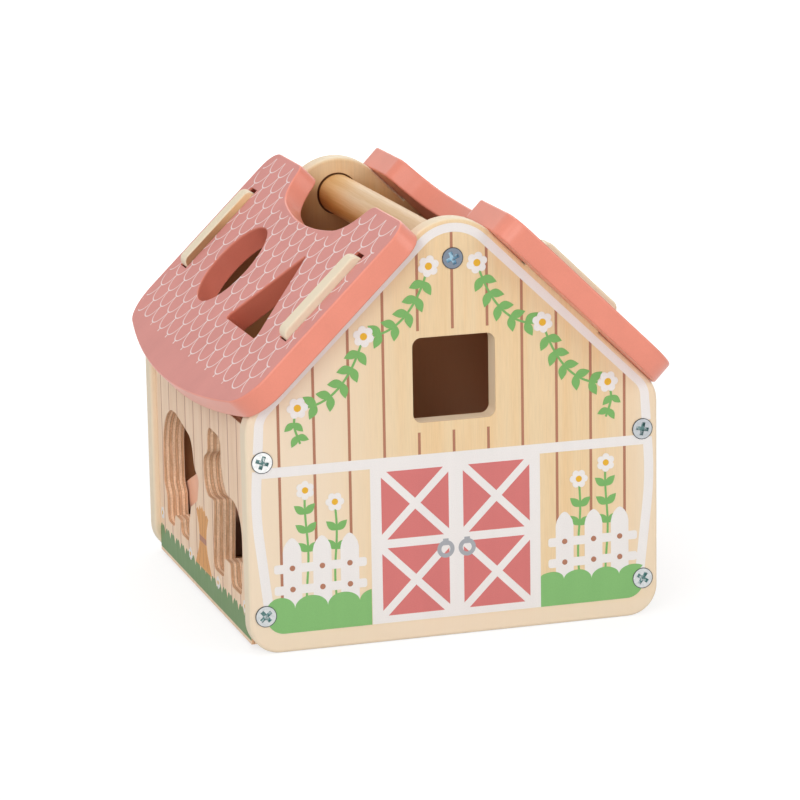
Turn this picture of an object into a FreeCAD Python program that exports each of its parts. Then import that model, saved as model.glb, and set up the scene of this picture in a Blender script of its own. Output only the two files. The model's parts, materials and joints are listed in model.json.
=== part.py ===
import FreeCAD, Part

import math
import os

import Sketcher
from FreeCAD import Placement, Rotation, Vector

# Wooden shape sorter house. X runs to the right, Y from the front gable to the
# rear one and Z up. The origin is on the ground, in the middle of the house.

DRIVING_SIZES = {
    # Gables, in mm and degrees
    "gable_width": 165.0,
    "gable_height": 163.0,
    "gable_thick": 8.5,
    "house_depth": 164.0,
    "roof_slope": 44.2,
    "apex_radius": 22.0,
    "shoulder_radius": 13.0,
    "foot_radius": 12.0,
    "board_ease": 1.4,
    # Window in each gable
    "window_side": 33.0,
    "window_sill": 85.1,
    "window_radius": 3.5,
    # Tenons on the gables that pass through the roof
    "tenon_along": 61.3,
    "tenon_long": 41.3,
    "tenon_tall": 12.6,
    "tenon_root": 6.0,
    "tenon_radius": 3.5,
    "tenon_ease": 0.8,
    # Side walls and floor
    "wall_thick": 9.0,
    "wall_outer": 80.0,
    "wall_base": 2.0,
    "wall_top": 87.0,
    "floor_thick": 3.0,
    "rebate_wide": 5.0,
    "floor_play": 0.1,
    # Roof panels
    "roof_thick": 9.6,
    "roof_overhang": 11.0,
    "roof_from_ridge": 20.4,
    "roof_long": 102.3,
    "roof_ease": 0.9,
    "roof_corner": 9.0,
    "eave_corner": 17.0,
    "eave_radius": 360.0,
    "notch_deep": 20.4,
    "notch_radius": 150.0,
    "notch_corner": 22.0,
    "notch_corner_out": 28.5,
    "ear_radius": 6.0,
    "slot_along": 40.4,
    "slot_long": 43.7,
    "slot_play": 0.3,
    "hole_out": 31.2,
    "round_hole": 39.0,
    "round_hole_along": 49.7,
    "triangle_hole": 45.0,
    "triangle_hole_base": 68.5,
    "triangle_radius": 1.5,
    "hole_ease": 0.5,
    # Carrying dowel under the ridge
    "dowel_diameter": 16.2,
    "dowel_height": 147.8,
    "socket_diameter": 17.0,
    "socket_deep": 3.5,
    "dowel_play": 0.1,
    # Screws
    "screw_out": 76.2,
    "screw_low": 15.1,
    "screw_high": 75.1,
    "head_diameter": 8.3,
    "head_proud": 0.3,
    "shank_diameter": 3.6,
    "shank_long": 28.0,
    "shank_point": 4.0,
    "recess_long": 5.2,
    "recess_wide": 1.5,
    "recess_deep": 1.4,
    "clearance_hole": 4.2,
    "sink_play": 0.1,
    "pilot_play": 0.1,
    "pilot_spare": 1.0,
    # Loose blocks
    "block_thick": 22.0,
    "block_play": 0.8,
    "block_ease": 1.0,
}

# Outlines of the two animal cut-outs in a side wall, seen on its outer face.
# Each corner is (distance from the front of the house, height, radius).
PIG_OUTLINE = [
    (146.8, 33.0, 4.0), (146.8, 67.8, 21.0), (121.5, 67.8, 20.0), (96.6, 63.0, 9.0),
    (92.6, 51.6, 5.0), (85.6, 48.6, 2.6), (89.0, 39.0, 4.0), (100.4, 33.8, 2.0),
    (104.4, 25.5, 3.0), (104.8, 17.8, 3.2), (119.4, 17.8, 3.2), (120.0, 23.4, 1.6),
    (128.8, 23.4, 1.6), (129.6, 17.8, 3.2), (142.4, 17.8, 3.2), (142.8, 29.0, 3.0),
]
CALF_OUTLINE = [
    (65.6, 17.6, 3.2), (48.4, 17.6, 3.2), (47.8, 26.2, 3.0), (38.4, 26.2, 1.8),
    (37.8, 17.6, 3.2), (21.4, 17.6, 3.2), (18.6, 32.0, 8.0), (18.6, 53.0, 13.0),
    (43.6, 53.4, 9.0), (48.8, 64.0, 8.0), (48.4, 74.0, 4.0), (69.8, 74.8, 6.0),
    (70.2, 63.6, 3.0), (77.9, 59.6, 5.0), (76.6, 45.2, 8.0), (62.0, 46.0, 1.6),
]

SCREW_TURNS = {"front": 0.0, "rear": 180.0}

# How far round each screw's cross recess has stopped, in degrees
CROSS_TURNS = {
    "ridge": 22.0,
    "upper_left": 70.0,
    "upper_right": 78.0,
    "lower_left": 40.0,
    "lower_right": 55.0,
}

# How far across and towards the rear each loose block is put, in mm
BLOCK_SPOTS = {
    "pig_block": (34.0, 0.0),
    "calf_block": (34.0, -4.0),
    "round_block": (-2.0, 34.0),
    "square_block": (4.0, -24.0),
}
SQUARE_TURN = 17.0
TRIANGLE_LEAN = 22.7
WALL_GAP = 0.8


class Size(float):
    """A length that also knows the sheet expression that it comes from."""

    def __new__(cls, value, text):
        size = float.__new__(cls, value)
        size.text = text
        return size

    def __add__(self, other):
        return Size(float(self) + float(other), "(%s + %s)" % (self.text, text_of(other)))

    def __sub__(self, other):
        return Size(float(self) - float(other), "(%s - %s)" % (self.text, text_of(other)))

    def __rsub__(self, other):
        return Size(float(other) - float(self), "(%s - %s)" % (text_of(other), self.text))

    def __mul__(self, other):
        return Size(float(self) * float(other), "(%s * %s)" % (self.text, text_of(other)))

    def __truediv__(self, other):
        return Size(float(self) / float(other), "(%s / %s)" % (self.text, text_of(other)))

    def __rtruediv__(self, other):
        return Size(float(other) / float(self), "(%s / %s)" % (text_of(other), self.text))

    def __neg__(self):
        return Size(-float(self), "(0 - %s)" % self.text)

    __radd__ = __add__
    __rmul__ = __mul__


def text_of(number):
    """Write a number, or the expression behind a Size, for an expression."""
    return number.text if isinstance(number, Size) else repr(float(number))


def root(square):
    return Size(math.sqrt(square), "sqrt(%s)" % square.text)


def sine(angle):
    return Size(math.sin(math.radians(angle)), "sin(%s * 1 deg)" % angle.text)


def cosine(angle):
    return Size(math.cos(math.radians(angle)), "cos(%s * 1 deg)" % angle.text)


def make_sheet(document):
    """Fill the spreadsheet and return its sizes by name."""
    sheet = document.addObject("Spreadsheet::Sheet", "Sizes")
    found = {}
    for row, (alias, value) in enumerate(DRIVING_SIZES.items(), start=1):
        sheet.set("A%d" % row, alias)
        sheet.set("B%d" % row, str(value))
        sheet.setAlias("B%d" % row, alias)
        found[alias] = Size(value, "Sizes.%s" % alias)
    document.recompute()
    return found


doc = FreeCAD.newDocument("ShapeSorterHouse")
size = make_sheet(doc)

half_width = size["gable_width"] / 2
half_depth = size["house_depth"] / 2
slope = size["roof_slope"]
slope_sine = sine(slope)
slope_cosine = cosine(slope)
# Height at which the two slopes of a gable would meet without the round apex
ridge_point = size["gable_height"] + size["apex_radius"] * (1 / slope_cosine - 1)
inner_half = half_depth - size["gable_thick"]
zero = Size(0.0, "0")


# Helpers for bodies, sketches and edges

def new_body(name):
    body = doc.addObject("PartDesign::Body", name)
    body.Label = name
    return body


def new_sketch(body, name, role, offset=0.0):
    """Add a sketch on one of the body's own origin planes."""
    sketch = body.newObject("Sketcher::SketchObject", name)
    planes = [plane for plane in body.Origin.OriginFeatures if plane.Role == role]
    sketch.AttachmentSupport = [(planes[0], "")]
    sketch.MapMode = "FlatFace"
    sketch.AttachmentOffset = Placement(Vector(0, 0, float(offset)), Rotation())
    if isinstance(offset, Size):
        sketch.setExpression("AttachmentOffset.Base.z", offset.text)
    return sketch


def bind(sketch, index, value):
    """Bind the constraint with this number to the sheet."""
    if isinstance(value, Size):
        sketch.setExpression("Constraints[%d]" % index, value.text)


def pin(sketch, geometry, end, across=None, up=None):
    """Hold a point of the sketch at a distance across or up from its origin."""
    for kind, axis, value in (("DistanceX", -2, across), ("DistanceY", -1, up)):
        if value is None:
            continue
        if abs(value) < 1e-9:
            sketch.addConstraint(Sketcher.Constraint("PointOnObject", geometry, end, axis))
        elif value > 0:
            made = sketch.addConstraint(Sketcher.Constraint(kind, -1, 1, geometry, end, float(value)))
            bind(sketch, made, value)
        else:
            made = sketch.addConstraint(Sketcher.Constraint(kind, geometry, end, -1, 1, -float(value)))
            bind(sketch, made, -value)


def add_line(sketch, start, end):
    line = Part.LineSegment(Vector(start[0], start[1], 0), Vector(end[0], end[1], 0))
    return sketch.addGeometry(line, False)


def add_arc(sketch, centre, radius, start_angle, end_angle):
    circle = Part.Circle(Vector(centre[0], centre[1], 0), Vector(0, 0, 1), float(radius))
    return sketch.addGeometry(Part.ArcOfCircle(circle, start_angle, end_angle), False)


def add_polygon(sketch, points):
    """Draw a closed polygon whose corners are all pinned."""
    lines = []
    for number, point in enumerate(points):
        following = points[(number + 1) % len(points)]
        lines.append(add_line(sketch, point, following))
    for number, line in enumerate(lines):
        following = lines[(number + 1) % len(lines)]
        sketch.addConstraint(Sketcher.Constraint("Coincident", line, 2, following, 1))
    for line, point in zip(lines, points):
        pin(sketch, line, 1, point[0], point[1])


def add_circle(sketch, centre, diameter):
    circle = Part.Circle(Vector(centre[0], centre[1], 0), Vector(0, 0, 1), float(diameter) / 2)
    made = sketch.addGeometry(circle, False)
    held = sketch.addConstraint(Sketcher.Constraint("Diameter", made, float(diameter)))
    bind(sketch, held, diameter)
    pin(sketch, made, 3, centre[0], centre[1])


def rectangle(left, right, bottom, top):
    return [(left, bottom), (right, bottom), (right, top), (left, top)]


def extrude(body, kind, name, sketch, length, reverse=False, through=False):
    """Add a pad or a pocket of the sketch, and check that a pocket cuts."""
    before = body.Shape.Volume if kind == "PartDesign::Pocket" else 0.0
    feature = body.newObject(kind, name)
    feature.Profile = sketch
    feature.Reversed = reverse
    if through:
        feature.Type = "ThroughAll"
    else:
        feature.Length = float(length)
        if isinstance(length, Size):
            feature.setExpression("Length", length.text)
    doc.recompute()
    if kind == "PartDesign::Pocket" and feature.Shape.Volume > before - 1e-6:
        raise RuntimeError("%s cuts nothing" % name)
    return feature


def pad(body, name, sketch, length, reverse=False):
    return extrude(body, "PartDesign::Pad", name, sketch, length, reverse)


def pocket(body, name, sketch, length=0.0, reverse=False, through=False):
    return extrude(body, "PartDesign::Pocket", name, sketch, length, reverse, through)


def edges_near(feature, points):
    """Name the edges whose middles lie nearest to the points."""
    names = []
    for point in points:
        middles = [(edge.CenterOfMass.distanceToPoint(point), number)
                   for number, edge in enumerate(feature.Shape.Edges, start=1)]
        names.append("Edge%d" % min(middles)[1])
    return names


def edges_where(feature, test):
    """Name the edges whose every sampled point passes the test."""
    names = []
    for number, edge in enumerate(feature.Shape.Edges, start=1):
        if all(test(point) for point in edge.discretize(5)):
            names.append("Edge%d" % number)
    return names


def round_edges(body, name, base, names, radius):
    fillet = body.newObject("PartDesign::Fillet", name)
    fillet.Base = (base, names)
    fillet.Radius = float(radius)
    if isinstance(radius, Size):
        fillet.setExpression("Radius", radius.text)
    doc.recompute()
    return fillet


def bevel_edges(body, name, base, names, length):
    bevel = body.newObject("PartDesign::Chamfer", name)
    bevel.Base = (base, names)
    bevel.Size = float(length)
    bevel.setExpression("Size", length.text)
    doc.recompute()
    return bevel


def turned(angle_about_z, offset):
    return Placement(offset, Rotation(Vector(0, 0, 1), angle_about_z))


# Rounded outlines of the animals

def inset_corners(corners, play):
    """Move every side of a closed outline inwards by the play."""
    area = sum(a[0] * b[1] - b[0] * a[1] for a, b in zip(corners, corners[1:] + corners[:1])) / 2
    side = 1.0 if area > 0 else -1.0
    moved = []
    for number, corner in enumerate(corners):
        before = corners[number - 1]
        after = corners[(number + 1) % len(corners)]
        first = Vector(corner[0] - before[0], corner[1] - before[1], 0).normalize()
        second = Vector(after[0] - corner[0], after[1] - corner[1], 0).normalize()
        inward = (Vector(-first.y, first.x, 0) + Vector(-second.y, second.x, 0)) * side
        inward = inward * (play / (1 + first.dot(second)))
        convex = (first.x * second.y - first.y * second.x) * side > 0
        radius = corner[2] - play if convex else corner[2] + play
        moved.append((corner[0] + inward.x, corner[1] + inward.y, radius))
    return moved


def add_rounded_outline(sketch, corners):
    """Draw a closed outline of straight sides joined by tangent arcs."""
    starts = []
    ends = []
    arcs = []
    for number, corner in enumerate(corners):
        here = Vector(corner[0], corner[1], 0)
        before = corners[number - 1]
        after = corners[(number + 1) % len(corners)]
        back = (Vector(before[0], before[1], 0) - here).normalize()
        ahead = (Vector(after[0], after[1], 0) - here).normalize()
        half_angle = back.getAngle(ahead) / 2
        reach = corner[2] / math.tan(half_angle)
        centre = here + (back + ahead).normalize() * (corner[2] / math.sin(half_angle))
        starts.append(here + back * reach)
        ends.append(here + ahead * reach)
        middle = centre + (here - centre).normalize() * corner[2]
        arcs.append(Part.Arc(starts[-1], middle, ends[-1]))
    for number, arc in enumerate(arcs):
        following = starts[(number + 1) % len(starts)]
        sketch.addGeometry(arc, False)
        sketch.addGeometry(Part.LineSegment(ends[number], following), False)


def from_house_middle(corners):
    """Measure an outline from the middle of the house instead of its front."""
    return [(across - float(half_depth), up, radius) for across, up, radius in corners]


# Gables

def screw_places():
    """Middle of each screw on a gable, seen from outside."""
    return {
        "ridge": (zero, size["dowel_height"]),
        "upper_left": (-size["screw_out"], size["screw_high"]),
        "upper_right": (size["screw_out"], size["screw_high"]),
        "lower_left": (-size["screw_out"], size["screw_low"]),
        "lower_right": (size["screw_out"], size["screw_low"]),
    }


def on_slope(side, along, out):
    """Point of a gable's slope: along it from the ridge point, and out from it."""
    across = (slope_cosine * along + slope_sine * out) * side
    up = ridge_point - slope_sine * along + slope_cosine * out
    return across, up


def add_tenon(body, name, side):
    """Pad one tenon onto a slope, with its root inside the board."""
    first = size["tenon_along"] - size["tenon_long"] / 2
    last = size["tenon_along"] + size["tenon_long"] / 2
    sketch = new_sketch(body, name + "_outline", "XZ_Plane")
    add_polygon(sketch, [
        on_slope(side, first, -size["tenon_root"]),
        on_slope(side, first, size["tenon_tall"]),
        on_slope(side, last, size["tenon_tall"]),
        on_slope(side, last, -size["tenon_root"]),
    ])
    tenon = pad(body, name, sketch, size["gable_thick"], reverse=True)
    thick = float(size["gable_thick"])
    corners = []
    for along in (first, last):
        across, up = on_slope(side, along, size["tenon_tall"])
        corners.append(Vector(across, thick / 2, up))
    rounded = round_edges(body, name + "_corners", tenon, edges_near(tenon, corners),
                          size["tenon_radius"])
    outwards = Vector(side * slope_sine, 0, slope_cosine)
    tip_starts = ridge_point * slope_cosine + size["tenon_tall"] - size["tenon_radius"]

    def on_the_tip(point):
        on_a_face = min(abs(point.y), abs(point.y - thick)) < 1e-4
        return on_a_face and point.dot(outwards) > float(tip_starts) - 1e-3

    round_edges(body, name + "_ease", rounded, edges_where(rounded, on_the_tip),
                size["tenon_ease"])


def make_gable(name, placement):
    """End board with a window, two tenons, screw holes and a dowel socket."""
    body = new_body(name)
    thick = size["gable_thick"]
    shoulder = ridge_point - half_width * slope_sine / slope_cosine
    outline = new_sketch(body, name + "_outline", "XZ_Plane")
    corners = [(-half_width, zero), (half_width, zero), (half_width, shoulder),
               (zero, ridge_point), (-half_width, shoulder)]
    add_polygon(outline, corners)
    board = pad(body, name + "_board", outline, thick, reverse=True)

    def corner_edges(feature, wanted):
        return edges_near(feature, [Vector(x, float(thick) / 2, z) for x, z in wanted])

    apex = round_edges(body, name + "_apex", board, corner_edges(board, [corners[3]]),
                       size["apex_radius"])
    shoulders = round_edges(body, name + "_shoulders", apex,
                            corner_edges(apex, [corners[2], corners[4]]),
                            size["shoulder_radius"])
    feet = round_edges(body, name + "_feet", shoulders,
                       corner_edges(shoulders, [corners[0], corners[1]]),
                       size["foot_radius"])

    def on_a_face(point):
        above_ground = point.z > 1e-3
        return above_ground and min(abs(point.y), abs(point.y - float(thick))) < 1e-4

    round_edges(body, name + "_ease", feet, edges_where(feet, on_a_face), size["board_ease"])
    add_tenon(body, name + "_left_tenon", -1)
    add_tenon(body, name + "_right_tenon", 1)

    window = new_sketch(body, name + "_window_outline", "XZ_Plane")
    half_window = size["window_side"] / 2
    window_top = size["window_sill"] + size["window_side"]
    window_corners = rectangle(-half_window, half_window, size["window_sill"], window_top)
    add_polygon(window, window_corners)
    opening = pocket(body, name + "_window", window, through=True)
    round_edges(body, name + "_window_corners", opening, corner_edges(opening, window_corners),
                size["window_radius"])

    holes = new_sketch(body, name + "_screw_centres", "XZ_Plane")
    for centre in screw_places().values():
        add_circle(holes, centre, size["clearance_hole"])
    drilled = pocket(body, name + "_screw_holes", holes, through=True)
    rims = edges_near(drilled, [Vector(x, 0, z) for x, z in screw_places().values()])
    sink_wide = size["head_diameter"] + size["sink_play"]
    bevel_edges(body, name + "_countersinks", drilled, rims,
                (sink_wide - size["clearance_hole"]) / 2)

    socket = new_sketch(body, name + "_socket_circle", "XZ_Plane", -thick)
    add_circle(socket, (zero, size["dowel_height"]), size["socket_diameter"])
    pocket(body, name + "_socket", socket, size["socket_deep"], reverse=True)
    body.Placement = placement


# Side walls and floor

def make_wall(name, placement):
    """Plywood side wall with two animal cut-outs, a floor rebate and pilot holes."""
    body = new_body(name)
    board_outline = new_sketch(body, name + "_outline", "YZ_Plane", -size["wall_outer"])
    add_polygon(board_outline, rectangle(-inner_half, inner_half,
                                         size["wall_base"], size["wall_top"]))
    pad(body, name + "_board", board_outline, size["wall_thick"])

    for animal, corners in (("pig", PIG_OUTLINE), ("calf", CALF_OUTLINE)):
        outline = new_sketch(body, "%s_%s_outline" % (name, animal), "YZ_Plane",
                             -size["wall_outer"])
        add_rounded_outline(outline, from_house_middle(corners))
        pocket(body, "%s_%s_cutout" % (name, animal), outline, size["wall_thick"], reverse=True)

    rebate = new_sketch(body, name + "_rebate_outline", "YZ_Plane",
                        size["rebate_wide"] - size["wall_outer"])
    add_polygon(rebate, rectangle(-inner_half, inner_half, size["wall_base"],
                                  size["wall_base"] + size["floor_thick"]))
    pocket(body, name + "_rebate", rebate, size["rebate_wide"], reverse=True)

    reach = size["shank_long"] - size["gable_thick"] + size["pilot_spare"]
    for end, offset, backwards in (("front", inner_half, False), ("rear", -inner_half, True)):
        pilots = new_sketch(body, "%s_%s_pilot_centres" % (name, end), "XZ_Plane", offset)
        for height in (size["screw_low"], size["screw_high"]):
            add_circle(pilots, (-size["screw_out"], height),
                       size["shank_diameter"] + size["pilot_play"])
        pocket(body, "%s_%s_pilots" % (name, end), pilots, reach, reverse=backwards)
    body.Placement = placement


def make_floor():
    """Thin panel that drops into the rebates of both side walls."""
    body = new_body("floor_panel")
    half = size["wall_outer"] - size["rebate_wide"] - size["floor_play"]
    ends = inner_half - size["floor_play"]
    outline = new_sketch(body, "floor_outline", "XY_Plane", size["wall_base"])
    add_polygon(outline, rectangle(-half, half, -ends, ends))
    pad(body, "floor_board", outline, size["floor_thick"] - size["floor_play"])


# Roof

def panel_point(across, along):
    """Point of a roof panel: across the house, and down the slope from its top edge."""
    return across, -along


def add_notch(sketch):
    """Draw the shallow hand notch with its round ears."""
    shift = size["notch_radius"] - size["notch_corner"]
    centre_along = size["notch_deep"] - size["notch_radius"]
    corner_out = size["notch_corner_out"]
    corner_along = centre_along + root(shift * shift - corner_out * corner_out)
    both = size["notch_corner"] + size["ear_radius"]
    rise = size["ear_radius"] - corner_along
    ear_out = corner_out + root(both * both - rise * rise)
    ear_turn = math.atan2(-rise, ear_out - corner_out)
    corner_turn = math.atan2(centre_along - corner_along, corner_out)
    straight_down = -math.pi / 2

    bottom = add_arc(sketch, (0, -centre_along), size["notch_radius"],
                     -math.pi - corner_turn, corner_turn)
    right_corner = add_arc(sketch, (corner_out, -corner_along), size["notch_corner"],
                           corner_turn, ear_turn)
    left_corner = add_arc(sketch, (-corner_out, -corner_along), size["notch_corner"],
                          -math.pi - ear_turn, -math.pi - corner_turn)
    right_ear = add_arc(sketch, (ear_out, -size["ear_radius"]), size["ear_radius"],
                        -straight_down, math.pi + ear_turn)
    left_ear = add_arc(sketch, (-ear_out, -size["ear_radius"]), size["ear_radius"],
                       -ear_turn, -straight_down)
    past_edge = size["ear_radius"]
    right_side = add_line(sketch, (ear_out, 0), (ear_out, past_edge))
    top = add_line(sketch, (ear_out, past_edge), (-ear_out, past_edge))
    left_side = add_line(sketch, (-ear_out, past_edge), (-ear_out, 0))

    joints = [(bottom, 2, right_corner, 1), (right_corner, 2, right_ear, 2),
              (left_ear, 1, left_corner, 1), (left_corner, 2, bottom, 1)]
    for first, first_end, second, second_end in joints:
        sketch.addConstraint(Sketcher.Constraint("Tangent", first, first_end, second, second_end))
    meetings = [(right_ear, 1, right_side, 1), (right_side, 2, top, 1),
                (top, 2, left_side, 1), (left_side, 2, left_ear, 2)]
    for first, first_end, second, second_end in meetings:
        sketch.addConstraint(
            Sketcher.Constraint("Coincident", first, first_end, second, second_end))
    for arc, radius in ((bottom, "notch_radius"), (right_corner, "notch_corner"),
                        (left_corner, "notch_corner"), (right_ear, "ear_radius"),
                        (left_ear, "ear_radius")):
        made = sketch.addConstraint(Sketcher.Constraint("Radius", arc, float(size[radius])))
        bind(sketch, made, size[radius])
    pin(sketch, bottom, 3, zero, -centre_along)
    pin(sketch, right_corner, 3, corner_out)
    pin(sketch, left_corner, 3, -corner_out)
    for ear, side in ((right_ear, right_side), (left_ear, left_side)):
        pin(sketch, ear, 3, None, -size["ear_radius"])
        sketch.addConstraint(Sketcher.Constraint("Vertical", side))
    sketch.addConstraint(Sketcher.Constraint("Vertical", right_ear, 1, right_ear, 3))
    sketch.addConstraint(Sketcher.Constraint("Vertical", left_ear, 2, left_ear, 3))
    sketch.addConstraint(Sketcher.Constraint("Horizontal", top))
    pin(sketch, top, 1, None, past_edge)


def add_panel_outline(sketch):
    """Draw the panel: a straight top edge, straight ends and a bowed eave."""
    reach = half_depth + size["roof_overhang"]
    radius = size["eave_radius"]
    centre_up = radius - size["roof_long"]
    end_along = root(radius * radius - reach * reach) - centre_up
    turn = math.asin(float(reach) / float(radius))
    top = add_line(sketch, (-reach, 0), (reach, 0))
    right = add_line(sketch, (reach, 0), (reach, -end_along))
    left = add_line(sketch, (-reach, -end_along), (-reach, 0))
    eave = add_arc(sketch, (0, centre_up), radius, -math.pi / 2 - turn, -math.pi / 2 + turn)
    meetings = [(top, 2, right, 1), (right, 2, eave, 2), (eave, 1, left, 1), (left, 2, top, 1)]
    for first, first_end, second, second_end in meetings:
        sketch.addConstraint(
            Sketcher.Constraint("Coincident", first, first_end, second, second_end))
    pin(sketch, top, 1, -reach, zero)
    pin(sketch, top, 2, reach, zero)
    sketch.addConstraint(Sketcher.Constraint("Vertical", right))
    sketch.addConstraint(Sketcher.Constraint("Vertical", left))
    made = sketch.addConstraint(Sketcher.Constraint("Radius", eave, float(radius)))
    bind(sketch, made, radius)
    pin(sketch, eave, 3, zero, centre_up)
    return reach, end_along


def triangle_points(side, base_along, out):
    """Corners of an upright triangle on the panel, before rounding."""
    tall = side * (math.sqrt(3) / 2)
    return [panel_point(out - side / 2, base_along), panel_point(out + side / 2, base_along),
            panel_point(out, base_along - tall)]


def make_roof(name, placement):
    """Roof panel: bowed eave, eared notch, two tenon slots and two shape holes."""
    body = new_body(name)
    thick = size["roof_thick"]
    outline = new_sketch(body, name + "_outline", "XY_Plane")
    reach, end_along = add_panel_outline(outline)
    board = pad(body, name + "_board", outline, thick)
    middle = float(thick) / 2

    def upright(feature, wanted):
        return edges_near(feature, [Vector(x, y, middle) for x, y in wanted])

    top_corners = upright(board, [(-reach, 0), (reach, 0)])
    shoulders = round_edges(body, name + "_top_corners", board, top_corners, size["roof_corner"])
    eave_corners = upright(shoulders, [(-reach, -end_along), (reach, -end_along)])
    eaves = round_edges(body, name + "_eave_corners", shoulders, eave_corners, size["eave_corner"])

    notch_outline = new_sketch(body, name + "_notch_outline", "XY_Plane", thick)
    add_notch(notch_outline)
    notch = pocket(body, name + "_notch", notch_outline, thick)

    def on_a_face(point):
        return min(abs(point.z), abs(point.z - float(thick))) < 1e-4

    round_edges(body, name + "_ease", notch, edges_where(notch, on_a_face), size["roof_ease"])

    slots = new_sketch(body, name + "_slot_outlines", "XY_Plane", thick)
    first = size["slot_along"] - size["slot_long"] / 2
    last = size["slot_along"] + size["slot_long"] / 2
    outer = half_depth + size["slot_play"]
    inner = inner_half - size["slot_play"]
    add_polygon(slots, rectangle(inner, outer, -last, -first))
    add_polygon(slots, rectangle(-outer, -inner, -last, -first))
    pocket(body, name + "_slots", slots, thick)

    triangle = new_sketch(body, name + "_triangle_outline", "XY_Plane", thick)
    side = size["triangle_hole"]
    corners = triangle_points(side, size["triangle_hole_base"], size["hole_out"])
    add_polygon(triangle, corners)
    cut = pocket(body, name + "_triangle", triangle, thick)
    round_edges(body, name + "_triangle_corners", cut, upright(cut, corners),
                size["triangle_radius"])

    circle = new_sketch(body, name + "_circle_outline", "XY_Plane", thick)
    circle_centre = panel_point(-size["hole_out"], size["round_hole_along"])
    add_circle(circle, circle_centre, size["round_hole"])
    hole = pocket(body, name + "_circle", circle, thick)

    middle_along = size["triangle_hole_base"] - side / (2 * math.sqrt(3))
    triangle_centre = panel_point(size["hole_out"], middle_along)
    reaches = [(circle_centre, size["round_hole"] / 2), (triangle_centre, side / math.sqrt(3))]

    def on_a_hole_rim(point):
        near_a_hole = any(math.hypot(point.x - centre[0], point.y - centre[1]) < radius + 1e-3
                          for centre, radius in reaches)
        return near_a_hole and on_a_face(point)

    round_edges(body, name + "_hole_ease", hole, edges_where(hole, on_a_hole_rim),
                size["hole_ease"])
    body.Placement = placement


def roof_placement(side):
    """Lay a panel on one slope, with its top edge at its distance from the ridge."""
    top_edge = on_slope(side, size["roof_from_ridge"], zero)
    down = Vector(side * float(slope_cosine), 0, -float(slope_sine))
    along = Vector(0, side, 0)
    normal = along.cross(-down)
    rotation = Rotation(along, -down, normal, "ZXY")
    return Placement(Vector(top_edge[0], 0, top_edge[1]), rotation)


# Carrying dowel

def make_dowel():
    """Round bar under the ridge, let into both gables and screwed from outside."""
    body = new_body("carrying_dowel")
    end = inner_half + size["socket_deep"] - size["dowel_play"]
    circle = new_sketch(body, "dowel_circle", "XZ_Plane", -end)
    add_circle(circle, (zero, size["dowel_height"]), size["dowel_diameter"])
    pad(body, "dowel_bar", circle, end * 2)
    reach = size["shank_long"] - (half_depth - end) + size["pilot_spare"]
    for side, offset, backwards in (("front", end, False), ("rear", -end, True)):
        pilot = new_sketch(body, "dowel_%s_pilot_circle" % side, "XZ_Plane", offset)
        add_circle(pilot, (zero, size["dowel_height"]), size["shank_diameter"] + size["pilot_play"])
        pocket(body, "dowel_%s_pilot" % side, pilot, reach, reverse=backwards)


# Screws

def make_screw(name, placement):
    """Countersunk wood screw with a cross recess; its head's edge is at the origin."""
    body = new_body(name)
    head = size["head_diameter"] / 2
    shank = size["shank_diameter"] / 2
    point_start = -(size["shank_long"] - size["shank_point"])

    profile = new_sketch(body, name + "_profile", "XZ_Plane")
    add_polygon(profile, [
        (zero, size["head_proud"]),
        (head, size["head_proud"]),
        (head, zero),
        (shank, shank - head),
        (shank, point_start),
        (zero, -size["shank_long"]),
    ])
    turning = body.newObject("PartDesign::Revolution", name + "_turning")
    turning.Profile = profile
    turning.ReferenceAxis = (profile, ["V_Axis"])
    turning.Angle = 360.0
    doc.recompute()

    recess = new_sketch(body, name + "_recess_outline", "XY_Plane", size["head_proud"])
    long = size["recess_long"] / 2
    wide = size["recess_wide"] / 2
    arm = [(long, -wide), (long, wide), (wide, wide)]
    points = []
    for quarter in range(4):
        points += arm
        arm = [(-up, across) for across, up in arm]
    add_polygon(recess, points)
    pocket(body, name + "_recess", recess, size["recess_deep"])
    body.Placement = placement


def screw_placement(end, place, centre):
    """Set a screw into the outside of the front or rear gable."""
    lying = Rotation(Vector(1, 0, 0), 90).multiply(Rotation(Vector(0, 0, 1), CROSS_TURNS[place]))
    around = Rotation(Vector(0, 0, 1), SCREW_TURNS[end])
    seat = Vector(float(centre[0]), -float(half_depth), float(centre[1]))
    return Placement(around.multVec(seat), around.multiply(lying))


# Loose blocks

def finish_block(body, name, base, placement):
    """Round the rim of both flat faces of a block and put it in place."""
    thick = float(size["block_thick"])

    def on_a_face(point):
        return min(abs(point.z), abs(point.z - thick)) < 1e-4

    round_edges(body, name + "_ease", base, edges_where(base, on_a_face), size["block_ease"])
    body.Placement = placement


def make_animal_block(name, corners, placement):
    body = new_body(name)
    outline = new_sketch(body, name + "_outline", "XY_Plane")
    add_rounded_outline(outline, inset_corners(corners, float(size["block_play"])))
    block = pad(body, name + "_board", outline, size["block_thick"])
    finish_block(body, name, block, placement)


def make_round_block(placement):
    body = new_body("round_block")
    circle = new_sketch(body, "round_block_circle", "XY_Plane")
    add_circle(circle, (zero, zero), size["round_hole"] - size["block_play"] * 2)
    block = pad(body, "round_block_bar", circle, size["block_thick"])
    finish_block(body, "round_block", block, placement)


def make_square_block(placement):
    body = new_body("square_block")
    outline = new_sketch(body, "square_block_outline", "XY_Plane")
    half = size["window_side"] / 2 - size["block_play"]
    corners = rectangle(-half, half, -half, half)
    add_polygon(outline, corners)
    block = pad(body, "square_block_bar", outline, size["block_thick"])
    middle = float(size["block_thick"]) / 2
    names = edges_near(block, [Vector(x, y, middle) for x, y in corners])
    rounded = round_edges(body, "square_block_corners", block, names,
                          size["window_radius"] - size["block_play"])
    finish_block(body, "square_block", rounded, placement)


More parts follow.
